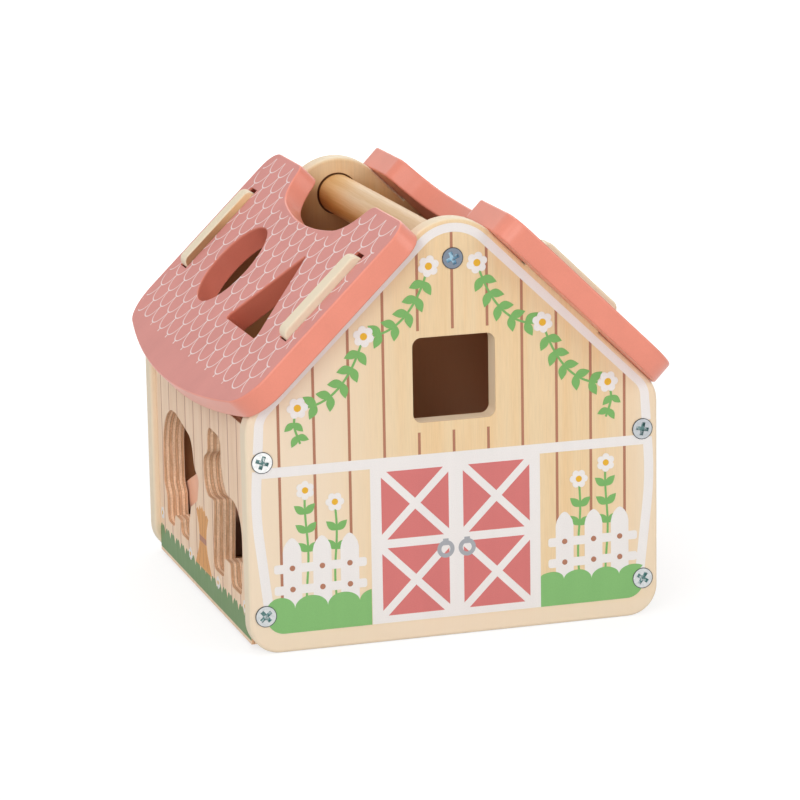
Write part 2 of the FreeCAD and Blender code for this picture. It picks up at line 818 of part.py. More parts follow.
def make_triangle_block(placement):
    """Prism whose outline is centred on the origin, one side level."""
    body = new_body("triangle_block")
    outline = new_sketch(body, "triangle_block_outline", "XY_Plane")
    side = size["triangle_hole"] - size["block_play"] * (2 * math.sqrt(3))
    inner = side * (math.sqrt(3) / 6)
    corners = [(-side / 2, -inner), (side / 2, -inner), (zero, inner * 2)]
    add_polygon(outline, corners)
    block = pad(body, "triangle_block_bar", outline, size["block_thick"])
    middle = float(size["block_thick"]) / 2
    names = edges_near(block, [Vector(x, y, middle) for x, y in corners])
    rounded = round_edges(body, "triangle_block_corners", block, names,
                          size["triangle_radius"])
    finish_block(body, "triangle_block", rounded, placement)


def build():
    """Make every piece of the house in its place."""
    front = Vector(0, -float(half_depth), 0)
    rear = Vector(0, float(half_depth), 0)
    make_gable("front_gable", turned(0, front))
    make_gable("rear_gable", turned(180, rear))
    make_wall("left_wall", turned(0, Vector()))
    make_wall("right_wall", turned(180, Vector()))
    make_floor()
    make_roof("left_roof", roof_placement(-1))
    make_roof("right_roof", roof_placement(1))
    make_dowel()
    for end in SCREW_TURNS:
        for place, centre in screw_places().items():
            make_screw("%s_screw_%s" % (end, place), screw_placement(end, place, centre))
    make_blocks()


def make_blocks():
    """Drop the five blocks inside the house, on its floor."""
    ground = float(size["wall_base"] + size["floor_thick"] - size["floor_play"])
    play = float(size["block_play"])

    # The two animals stand on their feet on the right, side on to the walls
    standing = Rotation(Vector(0, 1, 0), Vector(0, 0, 1), Vector(1, 0, 0), "ZXY")
    for name, corners in (("pig_block", PIG_OUTLINE), ("calf_block", CALF_OUTLINE)):
        feet = min(corner[1] for corner in corners) + play
        across, back = BLOCK_SPOTS[name]
        place = Placement(Vector(across, back, ground - feet), standing)
        make_animal_block(name, from_house_middle(corners), place)

    # The round and the square block lie flat in the middle
    make_round_block(Placement(Vector(*BLOCK_SPOTS["round_block"], ground), Rotation()))
    make_square_block(turned(SQUARE_TURN, Vector(*BLOCK_SPOTS["square_block"], ground)))

    # The triangle stands on one corner by the left wall and leans on the rear gable
    side = float(size["triangle_hole"]) - play * 2 * math.sqrt(3)
    radius = float(size["triangle_radius"])
    to_corner = side / math.sqrt(3) - 2 * radius
    left_face = float(size["wall_thick"] - size["wall_outer"]) + WALL_GAP
    corner_down = math.radians(-90 - TRIANGLE_LEAN)
    corner_back = math.radians(30 - TRIANGLE_LEAN)
    middle_up = ground + radius - to_corner * math.sin(corner_down)
    middle_back = float(inner_half) - WALL_GAP - radius - to_corner * math.cos(corner_back)
    leaning = Rotation(Vector(1, 0, 0), 180 - TRIANGLE_LEAN).multiply(standing)
    make_triangle_block(Placement(Vector(left_face, middle_back, middle_up), leaning))


# Check and write

def write_parts():
    """Refuse anything unsound, then write one file for each piece."""
    faults = [item.Name for item in doc.Objects
              if "Invalid" in item.State or "Error" in item.State]
    bodies = [item for item in doc.Objects if item.TypeId == "PartDesign::Body"]
    for body in bodies:
        shape = body.Shape
        if shape.isNull() or not shape.isValid() or len(shape.Solids) != 1:
            faults.append(body.Label)
    if faults:
        raise RuntimeError("unsound: " + ", ".join(faults))
    os.makedirs("parts", exist_ok=True)
    for body in bodies:
        body.Shape.exportStep("parts/%s.step" % body.Label)
        box = body.Shape.BoundBox
        print("%-26s %9.0f mm3  x %7.1f %7.1f  y %7.1f %7.1f  z %6.1f %6.1f" % (
            body.Label, body.Shape.Volume, box.XMin, box.XMax, box.YMin, box.YMax,
            box.ZMin, box.ZMax))


build()
doc.recompute()
write_parts()
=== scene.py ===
"""Looks of the wooden shape sorter house: its camera, studio, paints, woods and prints."""

import json
import math

import bmesh
import bpy
from mathutils import Matrix, Vector


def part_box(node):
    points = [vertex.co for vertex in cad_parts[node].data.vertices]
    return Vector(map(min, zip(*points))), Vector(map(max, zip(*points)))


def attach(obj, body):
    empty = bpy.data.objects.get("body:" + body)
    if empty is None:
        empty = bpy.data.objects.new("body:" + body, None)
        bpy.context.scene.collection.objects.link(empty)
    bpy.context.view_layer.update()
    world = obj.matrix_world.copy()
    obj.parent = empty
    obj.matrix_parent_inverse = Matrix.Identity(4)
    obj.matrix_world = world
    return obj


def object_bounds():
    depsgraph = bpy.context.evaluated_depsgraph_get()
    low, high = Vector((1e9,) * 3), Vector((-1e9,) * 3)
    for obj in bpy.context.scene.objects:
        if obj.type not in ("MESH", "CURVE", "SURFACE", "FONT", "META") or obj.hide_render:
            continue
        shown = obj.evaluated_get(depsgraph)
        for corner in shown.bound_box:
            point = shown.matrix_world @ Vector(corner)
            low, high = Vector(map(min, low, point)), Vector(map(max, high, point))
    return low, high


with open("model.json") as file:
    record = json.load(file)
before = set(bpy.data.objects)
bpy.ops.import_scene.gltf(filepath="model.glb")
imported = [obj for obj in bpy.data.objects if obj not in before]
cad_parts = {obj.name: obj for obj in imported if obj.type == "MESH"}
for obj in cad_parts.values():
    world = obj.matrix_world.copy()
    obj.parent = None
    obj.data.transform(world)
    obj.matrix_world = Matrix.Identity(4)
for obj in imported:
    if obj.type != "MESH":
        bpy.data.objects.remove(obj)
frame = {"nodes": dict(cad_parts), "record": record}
cad_low, cad_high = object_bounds()
nodes = frame["nodes"]

MM = 0.001

# Lengths of the house that the prints are laid out on, in mm
FRONT_FACE = -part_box("front_gable")[0].y / MM
WALL_FACE = -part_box("left_wall")[0].x / MM
WALL_INSIDE = -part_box("left_wall")[1].x / MM
WALL_THICK = WALL_FACE - WALL_INSIDE
FLOOR_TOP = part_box("floor_panel")[1].z / MM
ROOF_SLOPE = math.radians(44.2)
RIDGE_POINT = 171.69
ROOF_THICK = 9.6
PANEL_FROM_RIDGE = 20.4
DOWEL_MIDDLE = 147.8


# Colours

def colour(red, green, blue):
    """Linear colour from the usual 0 to 255 values."""
    parts = []
    for part in (red, green, blue):
        part = part / 255
        parts.append(part / 12.92 if part <= 0.04045 else ((part + 0.055) / 1.055) ** 2.4)
    return (*parts, 1.0)


PALE_WOOD = colour(234, 208, 168)
WARM_WOOD = colour(234, 201, 155)
PINK_WOOD = colour(236, 217, 193)
END_WOOD = colour(236, 221, 194)
# Multipliers for painted shade: dark inside the house, a golden tint higher up inside, and darkness
# in the dowel's sockets and at its ends
INNER_SHADE = (0.46, 0.29, 0.19, 1.0)
GOLDEN_SHADE = (1.0, 0.82, 0.58, 1.0)
SOCKET_SHADE = (0.2, 0.1, 0.05, 1.0)
PLY_LIGHT = colour(250, 218, 186)
PLY_DARK = colour(226, 182, 146)
GLUE_LINE = colour(160, 108, 76)
ROOF_PRINT = colour(214, 144, 136)
ROOF_PAINT = colour(231, 142, 121)
# Multipliers for painted shade in the roof's holes and slots
HOLE_SHADE = (0.86, 0.72, 0.7, 1.0)
DEEP_SHADE = (0.83, 0.8, 0.74, 1.0)
SLOT_SHADE = (0.3, 0.16, 0.14, 1.0)
SCALE_LINE = colour(240, 225, 223)
WHITE_INK = colour(236, 231, 228)
BROWN_INK = colour(178, 122, 96)
GREEN_INK = colour(131, 185, 113)
LEAF_INK = colour(122, 178, 101)
GRASS_INK = colour(106, 143, 94)
RED_INK = colour(211, 118, 115)
GREY_INK = colour(166, 168, 173)
YELLOW_INK = colour(232, 178, 50)
STRAW_INK = colour(222, 158, 86)
STALK_INK = colour(198, 134, 70)
# Zinc tones. Beside the plain zinc these are painted light: a white reflection, a dim reflection that
# also gives the mottle, painted shade and a paler painted reflection in the cross recesses, and a
# painted shadow round the rim.
ZINC = colour(212, 215, 215)
ZINC_WHITE_REFLECTION = colour(244, 244, 242)
ZINC_MOTTLE_AND_DIM_REFLECTION = colour(122, 130, 142)
RECESS_SHADE_ZINC = colour(98, 130, 128)
RIDGE_RECESS_REFLECTION = colour(150, 184, 202)
ZINC_RIM_SHADOW = colour(70, 72, 76)


# Arithmetic inside a material

class Term:
    """A number inside a material, with ordinary arithmetic that adds Math nodes."""

    def __init__(self, tree, socket):
        self.tree = tree
        self.socket = socket

    def made(self, operation, *others):
        node = self.tree.nodes.new("ShaderNodeMath")
        node.operation = operation
        for slot, value in zip(node.inputs, (self,) + others):
            put(self.tree, slot, value)
        return Term(self.tree, node.outputs[0])

    def __add__(self, other):
        return self.made("ADD", other)

    def __sub__(self, other):
        return self.made("SUBTRACT", other)

    def __mul__(self, other):
        return self.made("MULTIPLY", other)

    def __truediv__(self, other):
        return self.made("DIVIDE", other)

    def __rsub__(self, other):
        return (self * -1.0) + other

    __radd__ = __add__
    __rmul__ = __mul__

    def size(self):
        return self.made("ABSOLUTE")

    def whole(self):
        return self.made("FLOOR")

    def rest(self, step):
        return self.made("FLOORED_MODULO", step)

    def root(self):
        return self.made("SQRT")

    def least(self, other):
        return self.made("MINIMUM", other)

    def most(self, other):
        return self.made("MAXIMUM", other)

    def below(self, limit, soft=0.05):
        """1 under the limit and 0 over it, with a soft edge this wide."""
        return ramp(self, limit - soft, limit + soft, 1.0, 0.0)

    def above(self, limit, soft=0.05):
        return ramp(self, limit - soft, limit + soft, 0.0, 1.0)


def put(tree, slot, value):
    """Set a socket to a number or colour, or link it to a Term or another socket."""
    if isinstance(value, Term):
        tree.links.new(value.socket, slot)
    elif isinstance(value, bpy.types.NodeSocket):
        tree.links.new(value, slot)
    else:
        slot.default_value = value


def ramp(term, low, high, at_low, at_high):
    """Move smoothly from one number to another as the term goes from low to high."""
    node = term.tree.nodes.new("ShaderNodeMapRange")
    node.interpolation_type = "SMOOTHSTEP"
    for name, value in (("Value", term), ("From Min", low), ("From Max", high),
                        ("To Min", at_low), ("To Max", at_high)):
        put(term.tree, node.inputs[name], value)
    return Term(term.tree, node.outputs["Result"])


def new_tree(name):
    """Make a material with only a shader and its output, and return both with the tree."""
    material = bpy.data.materials.new(name)
    material.use_nodes = True
    tree = material.node_tree
    shader = next(node for node in tree.nodes if node.type == "BSDF_PRINCIPLED")
    return material, tree, shader


def places(tree):
    """The piece's own coordinates in mm, as a vector socket and as three Terms."""
    source = tree.nodes.new("ShaderNodeTexCoord")
    scaled = tree.nodes.new("ShaderNodeVectorMath")
    scaled.operation = "SCALE"
    tree.links.new(source.outputs["Object"], scaled.inputs[0])
    scaled.inputs["Scale"].default_value = 1 / MM
    parts = tree.nodes.new("ShaderNodeSeparateXYZ")
    tree.links.new(scaled.outputs[0], parts.inputs[0])
    return scaled.outputs[0], [Term(tree, socket) for socket in parts.outputs]


def joined(tree, across, along, up):
    node = tree.nodes.new("ShaderNodeCombineXYZ")
    for slot, value in zip(node.inputs, (across, along, up)):
        put(tree, slot, value)
    return node.outputs[0]


def stretched(tree, vector, factors):
    node = tree.nodes.new("ShaderNodeVectorMath")
    node.operation = "MULTIPLY"
    tree.links.new(vector, node.inputs[0])
    node.inputs[1].default_value = factors
    return node.outputs[0]


def noise(tree, vector, scale=1.0, detail=3.0, roughness=0.5, bend=0.0):
    node = tree.nodes.new("ShaderNodeTexNoise")
    tree.links.new(vector, node.inputs["Vector"])
    node.inputs["Scale"].default_value = scale
    node.inputs["Detail"].default_value = detail
    node.inputs["Roughness"].default_value = roughness
    node.inputs["Distortion"].default_value = bend
    return Term(tree, node.outputs["Fac"])


def mixed(tree, share, first, second, kind="MIX"):
    """Mix two colours; a share of 1 gives the second."""
    node = tree.nodes.new("ShaderNodeMix")
    node.data_type = "RGBA"
    node.blend_type = kind
    put(tree, node.inputs["Factor"], share)
    put(tree, node.inputs[6], first)
    put(tree, node.inputs[7], second)
    return node.outputs[2]


def bumped(tree, shader, height, depth):
    """Raise the surface by the height, a Term from 0 to 1, times the depth in mm."""
    node = tree.nodes.new("ShaderNodeBump")
    node.inputs["Strength"].default_value = 1.0
    node.inputs["Distance"].default_value = depth * MM
    put(tree, node.inputs["Height"], height)
    tree.links.new(node.outputs[0], shader.inputs["Normal"])


# Woods

def grain(tree, vector, stretch, seed):
    """Broad streaks and fine fibres of wood, each from 0 to 1, along the stretched axis."""
    offset = tree.nodes.new("ShaderNodeVectorMath")
    offset.operation = "ADD"
    tree.links.new(stretched(tree, vector, stretch), offset.inputs[0])
    offset.inputs[1].default_value = (seed * 31.7, seed * 17.3, seed * 53.9)
    streaks = noise(tree, offset.outputs[0], 0.16, 4.0, 0.55, 0.4)
    fibres = noise(tree, offset.outputs[0], 1.9, 3.0, 0.6)
    return streaks, fibres


def wood_colour(tree, streaks, fibres, pale, warm):
    body = mixed(tree, ramp(streaks, 0.3, 0.7, 0.0, 1.0), pale, warm)
    lines = ramp(fibres, 0.35, 0.75, 1.0, 0.93)
    shade = joined(tree, lines, lines * 0.995, lines * 0.985)
    return mixed(tree, 1.0, body, shade, "MULTIPLY")


def make_board(name, seed, stretch=(1.0, 1.0, 0.045)):
    """Pale veneered board with upright grain, paler on its tenon tips, with painted shade on its
    inner face and a painted shadow in the dowel's socket.
    """
    material, tree, shader = new_tree(name)
    vector, (x, y, z) = places(tree)
    streaks, fibres = grain(tree, vector, stretch, seed)
    warm = wood_colour(tree, streaks, fibres, PALE_WOOD, WARM_WOOD)
    aside = x * ramp(y, -1.0, 1.0, 1.0, -1.0)
    pink = ramp(aside, -60.0, -12.0, 0.85, 0.0).most(ramp(aside, 56.0, 80.0, 0.0, 0.7))
    pink = pink.most(ramp(z, 5.0, 14.0, 0.85, 0.0))
    wood = mixed(tree, pink, warm, PINK_WOOD)
    out = x.size() * math.sin(ROOF_SLOPE) + z * math.cos(ROOF_SLOPE)
    roof_top = RIDGE_POINT * math.cos(ROOF_SLOPE) + ROOF_THICK
    tip = out.above(roof_top - 1.0, 0.4)
    rim = (y.size()).below(FRONT_FACE - 0.35, 0.25) * (y.size()).above(FRONT_FACE - 8.2, 0.25)
    edged = mixed(tree, rim * 0.75, wood, END_WOOD)
    tipped = mixed(tree, tip * 0.8, edged, END_WOOD)
    # Painted shade: the inner face between the walls is multiplied dark brown low down and golden
    # higher up, for the dark inside of the house.
    inner = y.size().below(FRONT_FACE - 8.4, 0.1) * z.below(152.0, 8.0)
    inner = inner * x.size().below(WALL_FACE, 0.2)
    shade = mixed(tree, ramp(z, 132.0, 150.0, 0.0, 1.0), INNER_SHADE, GOLDEN_SHADE)
    shaded = mixed(tree, inner, tipped, shade, "MULTIPLY")
    high = z - DOWEL_MIDDLE
    # Painted shadow: the dowel's socket is darkened.
    socket = (x * x + high * high).root().below(8.8, 0.1) * y.size().below(FRONT_FACE - 4.5, 0.1)
    tree.links.new(mixed(tree, socket, shaded, SOCKET_SHADE, "MULTIPLY"),
                   shader.inputs["Base Color"])
    put(tree, shader.inputs["Roughness"], ramp(fibres, 0.3, 0.7, 0.46, 0.6))
    shader.inputs["Specular IOR Level"].default_value = 0.3
    bumped(tree, shader, fibres, 0.03)
    return material


def make_plywood(name, seed):
    """Side wall: veneer faces, plies that show in every cut edge, planks and grass, and painted shade
    on its inside face.
    """
    material, tree, shader = new_tree(name)
    vector, (x, y, z) = places(tree)
    wave = noise(tree, stretched(tree, vector, (0.2, 0.06, 0.06)), 1.0, 2.0)
    ply = (x.size() * -1.0 + WALL_FACE) * (PLIES / WALL_THICK) + (wave - 0.5) * 0.12
    odd = (ply * 0.5).rest(1.0).above(0.5, 0.12)
    line = ((ply + 0.5).rest(1.0) - 0.5).size().below(0.06, 0.05)
    fibre_along = noise(tree, stretched(tree, vector, (1.0, 0.08, 1.6)), 1.4, 3.0)
    fibre_up = noise(tree, stretched(tree, vector, (1.0, 1.6, 0.08)), 1.4, 3.0)
    rough = noise(tree, stretched(tree, vector, (2.2, 0.9, 0.9)), 1.0, 4.0, 0.7)
    along = mixed(tree, ramp(fibre_along, 0.3, 0.7, 0.0, 1.0), PLY_LIGHT, colour(238, 200, 164))
    upright = mixed(tree, ramp(fibre_up, 0.3, 0.7, 0.0, 1.0), PLY_DARK, colour(210, 164, 126))
    plies = mixed(tree, line * 0.7, mixed(tree, odd, upright, along), GLUE_LINE)
    strands = noise(tree, stretched(tree, vector, (3.0, 0.12, 0.12)), 1.0, 2.0)
    tone = ramp(rough, 0.34, 0.64, 0.92, 1.07) * ramp(strands, 0.36, 0.64, 0.88, 1.09)
    core = mixed(tree, 1.0, plies, joined(tree, tone, tone, tone), "MULTIPLY")

    streaks, fibres = grain(tree, vector, (1.0, 1.0, 0.045), seed)
    face = wood_colour(tree, streaks, fibres, colour(249, 222, 195), colour(241, 210, 180))
    skin = (x.size() - (WALL_FACE + WALL_INSIDE) / 2).size().above(WALL_THICK / 2 - 0.25, 0.05)
    wood = mixed(tree, skin, core, face)
    # Painted shade: the inside face is multiplied darker, for the dark inside of the house.
    inside = x.size().below(WALL_INSIDE + 0.1, 0.05)
    wood = mixed(tree, inside, wood, INNER_SHADE, "MULTIPLY")

    outside = x.size().above(WALL_FACE - 0.05, 0.02)
    towards_rear = y * ramp(x, -1.0, 1.0, 1.0, -1.0)
    boards = ((towards_rear + BOARD_SHIFT).rest(BOARD_WIDE) - BOARD_WIDE / 2).size()
    gap = boards.above(BOARD_WIDE / 2 - WALL_LINE / 2, 0.08) * z.above(GRASS_TOP, 0.1)
    lined = mixed(tree, gap * outside * 0.85, wood, BROWN_INK)
    sway = noise(tree, stretched(tree, vector, (0.0, 0.09, 0.0)), 1.0, 1.0)
    height = GRASS_TOP + (sway - 0.5) * 1.6
    for wide, tall in ((GRASS_HUMP, GRASS_SWELL), (GRASS_HUMP / 2, GRASS_BLADE)):
        hump = ((towards_rear + GRASS_SHIFT).rest(wide) - wide / 2) / (wide / 2)
        height = height + (1.0 - hump * hump) * tall
    grass = (height - z).above(0.0, 0.12) * z.above(GRASS_FOOT, 0.12) * outside
    tree.links.new(mixed(tree, grass * 0.96, lined, GRASS_INK), shader.inputs["Base Color"])
    put(tree, shader.inputs["Roughness"], ramp(fibres, 0.3, 0.7, 0.5, 0.65))
    shader.inputs["Specular IOR Level"].default_value = 0.25
    cut_edge = (1.0 - skin) * (rough * 0.7 + odd * 0.3)
    bumped(tree, shader, fibres * 0.35 + cut_edge, 0.1)
    return material


PLIES = 7
BOARD_WIDE = 13.8
BOARD_SHIFT = 82.0 - 30.0 + BOARD_WIDE * 4.5
WALL_LINE = 1.0
GRASS_TOP = 10.6
GRASS_SWELL = 2.3
GRASS_BLADE = 1.3
GRASS_FOOT = 3.5
GRASS_HUMP = 8.6
GRASS_SHIFT = 3.4


def make_dowel_wood(name):
    """Turned round bar with long grain, with painted warm shade towards its rear end and underneath,
    and a painted shadow on one side of each end.
    """
    material, tree, shader = new_tree(name)
    vector, (x, y, z) = places(tree)
    streaks, fibres = grain(tree, vector, (1.0, 0.03, 1.0), 5.0)
    wood = wood_colour(tree, streaks, fibres, colour(226, 198, 162), colour(212, 175, 128))
    # Painted shade: the rear part and the underside are multiplied a warm golden.
    wood = mixed(tree, ramp(y, 25.0, 62.0, 0.0, 1.0), wood, (1.0, 0.85, 0.6, 1.0), "MULTIPLY")
    under = z.below(DOWEL_MIDDLE + 2.5, 6.0)
    shaded_underneath = mixed(tree, under, wood, (1.0, 0.72, 0.4, 1.0), "MULTIPLY")
    # Painted shadow: one side of each end is darkened where it sits in the socket.
    side = x * ramp(y, -1.0, 1.0, -1.0, 1.0)
    end = y.size().above(FRONT_FACE - 9.4, 0.35) * side.below(1.0, 5.0)
    tree.links.new(mixed(tree, end * 0.9, shaded_underneath, SOCKET_SHADE, "MULTIPLY"),
                   shader.inputs["Base Color"])
    put(tree, shader.inputs["Roughness"], ramp(fibres, 0.3, 0.7, 0.42, 0.58))
    shader.inputs["Specular IOR Level"].default_value = 0.4
    bumped(tree, shader, fibres, 0.03)
    return material


def make_floor_wood(name):
    """Thin unprinted plywood, with painted shade on its top face inside the house."""
    material, tree, shader = new_tree(name)
    vector, (x, y, z) = places(tree)
    streaks, fibres = grain(tree, vector, (0.045, 1.0, 1.0), 8.0)
    wood = wood_colour(tree, streaks, fibres, colour(228, 204, 168), colour(212, 180, 138))
    # Painted shade: the top face inside the house is multiplied darker.
    inside = z.above(FLOOR_TOP - 0.1, 0.05)
    tree.links.new(mixed(tree, inside, wood, INNER_SHADE, "MULTIPLY"),
                   shader.inputs["Base Color"])
    put(tree, shader.inputs["Roughness"], ramp(fibres, 0.3, 0.7, 0.55, 0.7))
    shader.inputs["Specular IOR Level"].default_value = 0.3
    bumped(tree, shader, fibres, 0.03)
    return material


# Paints

SCALE_WIDE = 13.0
SCALE_STEP = 7.18
SCALE_DEEP = 8.1
FIRST_SCALE = 9.1
SCALE_ROWS = 13
SCALE_LINE_WIDE = 0.52
SCALE_SHIFT = 54.0 + SCALE_WIDE * 10
SLOT_OUT = 77.75
SLOT_HALF = 4.6
SLOT_ALONG = 40.4
SLOT_REACH = 21.85


def make_roof(name):
    """Satin paint on every edge, with a printed top of round shingles and painted shade in its holes
    and slots.
    """
    material, tree, shader = new_tree(name)
    vector, (x, y, z) = places(tree)
    sine = math.sin(ROOF_SLOPE)
    cosine = math.cos(ROOF_SLOPE)
    out = x.size() * sine + z * cosine - RIDGE_POINT * cosine
    along = x.size() * cosine - z * sine + RIDGE_POINT * sine - PANEL_FROM_RIDGE
    across = y * ramp(x, -1.0, 1.0, 1.0, -1.0)

    lead = SCALE_LINE_WIDE / 2
    row = ((FIRST_SCALE + lead - along) * (-1 / SCALE_STEP)).whole() + 1.0
    rise = FIRST_SCALE + lead + row * SCALE_STEP - along
    half_turn = (row * 0.5).rest(1.0) * SCALE_WIDE
    side = (across + SCALE_SHIFT + half_turn + SCALE_WIDE / 2).rest(SCALE_WIDE) - SCALE_WIDE / 2
    width = SCALE_WIDE / 2
    up = rise - lead - SCALE_DEEP
    radius = ((side * side) * (1 / width ** 2) + (up * up) * (1 / SCALE_DEEP ** 2)).root()
    slope = ((side * side) * (1 / width ** 4) + (up * up) * (1 / SCALE_DEEP ** 4)).root()
    away = (radius - 1.0).size() * radius / slope
    line = away.below(SCALE_LINE_WIDE / 2, 0.14)

    reach = across.size()
    notch = ramp(reach, 31.0, 58.0, 20.8, 2.6)
    corner_side = (reach - 76.0).most(0.0)
    corner_along = (along - 74.5).most(0.0)
    corner = (corner_side * corner_side + corner_along * corner_along).root().below(15.2, 0.2)
    last = (row - (SCALE_ROWS - 1.0)).size().below(0.5)
    inside = (across + 2.0).size().below(58.6, 0.1)
    beyond = (row - SCALE_ROWS).above(-0.5)
    kept = reach.below(88.5, 0.1) * (along - notch).above(0.0, 0.1) * corner
    kept = kept * (1.0 - beyond) * (1.0 - last * (1.0 - inside))

    top = out.above(ROOF_THICK - 0.12, 0.1)
    cloud = noise(tree, vector, 0.05, 3.0)
    tiny = noise(tree, vector, 1.6, 2.0, 0.6)
    tone = ramp(cloud, 0.3, 0.7, 0.97, 1.03) * ramp(tiny, 0.3, 0.7, 0.985, 1.015)
    shade = joined(tree, tone, tone, tone)
    body = mixed(tree, top, ROOF_PAINT, ROOF_PRINT)
    paint_tone_and_shade = mixed(tree, 1.0, body, shade, "MULTIPLY")
    # Painted shade: the walls of the holes are darker, the triangular hole's more so, and the slot
    # walls much darker.
    below = out.below(ROOF_THICK - 0.9, 0.4) * out.above(0.2, 0.1)
    hole = below * along.above(24.0) * along.below(93.0) * across.size().below(68.0)
    slot = (across.size() - SLOT_OUT).size().below(SLOT_HALF + 0.4, 0.1)
    slot = slot * below * (along - SLOT_ALONG).size().below(SLOT_REACH + 0.4, 0.1)
    paint_tone_and_shade = mixed(tree, hole, paint_tone_and_shade, HOLE_SHADE, "MULTIPLY")
    paint_tone_and_shade = mixed(tree, hole * across.below(2.0, 1.0), paint_tone_and_shade, DEEP_SHADE, "MULTIPLY")
    paint_tone_and_shade = mixed(tree, slot, paint_tone_and_shade, SLOT_SHADE, "MULTIPLY")
    tree.links.new(mixed(tree, line * kept * top * 0.95, paint_tone_and_shade, SCALE_LINE),
                   shader.inputs["Base Color"])
    put(tree, shader.inputs["Roughness"], ramp(tiny, 0.3, 0.7, 0.28, 0.31) + top * 0.3)
    shader.inputs["Specular IOR Level"].default_value = 0.3
    fibres = noise(tree, stretched(tree, vector, (0.9, 0.06, 0.9)), 1.6, 3.0)
    bumped(tree, shader, (fibres * 0.6 + tiny * 0.4) * (top * 0.88 + 0.12), 0.035)
    return material


def make_paint(name, tint, foot_shade=1.0):
    """Satin paint that fills the grain, with small pits, a faint change of tone and, where asked,
    painted shade towards its foot.
    """
    material, tree, shader = new_tree(name)
    vector, (x, y, z) = places(tree)
    cloud = noise(tree, vector, 0.07, 3.0)
    tiny = noise(tree, vector, 1.8, 2.0, 0.6)
    tone = ramp(cloud, 0.3, 0.7, 0.95, 1.03) * ramp(tiny, 0.3, 0.7, 0.98, 1.01)
    # Painted shade: the paint grows darker towards the foot, down to the given share.
    tone = tone * ramp(z, 19.0, 27.0, foot_shade, 1.0)
    tree.links.new(mixed(tree, 1.0, tint, joined(tree, tone, tone, tone), "MULTIPLY"),
                   shader.inputs["Base Color"])
    put(tree, shader.inputs["Roughness"], ramp(tiny, 0.3, 0.7, 0.36, 0.5))
    shader.inputs["Specular IOR Level"].default_value = 0.45
    bumped(tree, shader, tiny, 0.03)
    return material


def make_ink(name, tint, cover=0.07):
    """Flat ink on wood: the grain below shows through it a little."""
    material, tree, shader = new_tree(name)
    vector, _ = places(tree)
    streaks, fibres = grain(tree, vector, (1.0, 1.0, 0.045), 1.0)
    speck = noise(tree, vector, 2.4, 2.0, 0.7)
    tone = ramp(streaks, 0.3, 0.7, 1.0, 1.0 - cover * 0.5) * ramp(speck, 0.35, 0.75, 1.0, 1.0 - cover)
    tree.links.new(mixed(tree, 1.0, tint, joined(tree, tone, tone, tone), "MULTIPLY"),
                   shader.inputs["Base Color"])
    put(tree, shader.inputs["Roughness"], ramp(fibres, 0.3, 0.7, 0.48, 0.6))
    shader.inputs["Specular IOR Level"].default_value = 0.35
    bumped(tree, shader, fibres, 0.02)
    return material


def make_zinc(name):
    """Bright zinc plate with fine scratches. Painted reflections: darker near the ridge, white on the
    upper left screw, dimmer on the upper right one; painted shade and glints in the cross recesses; a
    painted shadow round the rim.
    """
    material, tree, shader = new_tree(name)
    vector, (x, y, z) = places(tree)
    nearest = (x * x + (z - DOWEL_MIDDLE) * (z - DOWEL_MIDDLE)).root()
    for height in SCREW_HEIGHTS:
        beside = x.size() - SCREW_OUT
        nearest = nearest.least((beside * beside + (z - height) * (z - height)).root())
    patch = noise(tree, vector, 0.9, 3.0)
    fine = noise(tree, stretched(tree, vector, (3.0, 3.0, 9.0)), 1.2, 2.0)
    # Painted reflection: darker near the ridge, white on the upper left screws, dimmer on the upper
    # right ones.
    plate = mixed(tree, z.above(110.0, 5.0), ZINC, ZINC_MOTTLE_AND_DIM_REFLECTION)
    aside = x * ramp(y, -1.0, 1.0, 1.0, -1.0)
    plate = mixed(tree, aside.below(-60.0) * z.above(45.0, 5.0), plate, ZINC_WHITE_REFLECTION)
    plate = mixed(tree, aside.above(60.0) * z.above(45.0, 5.0) * 0.3, plate, ZINC_MOTTLE_AND_DIM_REFLECTION)
    mottled = mixed(tree, ramp(patch, 0.35, 0.65, 0.0, 0.2), plate, ZINC_MOTTLE_AND_DIM_REFLECTION)
    # Painted shadow round the rim of each head.
    rimmed = mixed(tree, nearest.above(SCREW_RIM, 0.08), mottled, ZINC_RIM_SHADOW)
    # Painted shade in the cross recesses, paler near the ridge as a painted reflection, with painted
    # glints where the patches are high.
    recess = y.size().below(FRONT_FACE + 0.1, 0.1) * nearest.below(3.2, 0.1)
    hollow = recess * ramp(patch, 0.5, 0.62, 1.0, 0.15)
    deep = mixed(tree, z.above(110.0, 5.0), RECESS_SHADE_ZINC, RIDGE_RECESS_REFLECTION)
    tree.links.new(mixed(tree, hollow, rimmed, deep), shader.inputs["Base Color"])
    shader.inputs["Metallic"].default_value = 1.0
    put(tree, shader.inputs["Roughness"], ramp(patch, 0.3, 0.7, 0.26, 0.38))
    bumped(tree, shader, fine, 0.012)
    return material


SCREW_HEIGHTS = (15.1, 75.1)
SCREW_OUT = 76.2
SCREW_RIM = 3.88

MATERIALS = {
    "gable_board": make_board("gable_board", 1.0),
    "wall_plywood": make_plywood("wall_plywood", 2.0),
    "floor_plywood": make_floor_wood("floor_plywood"),
    "roof_panel": make_roof("roof_panel"),
    "dowel_wood": make_dowel_wood("dowel_wood"),
    "screw_steel": make_zinc("screw_steel"),
    "pig_paint": make_paint("pig_paint", colour(226, 150, 150)),
    "calf_paint": make_paint("calf_paint", colour(236, 190, 90)),
    "round_paint": make_paint("round_paint", colour(135, 186, 120)),
    "square_paint": make_paint("square_paint", colour(120, 165, 205)),
    # The triangle block gets painted shade towards its foot.
    "triangle_paint": make_paint("triangle_paint", colour(252, 198, 170), 0.2),
}

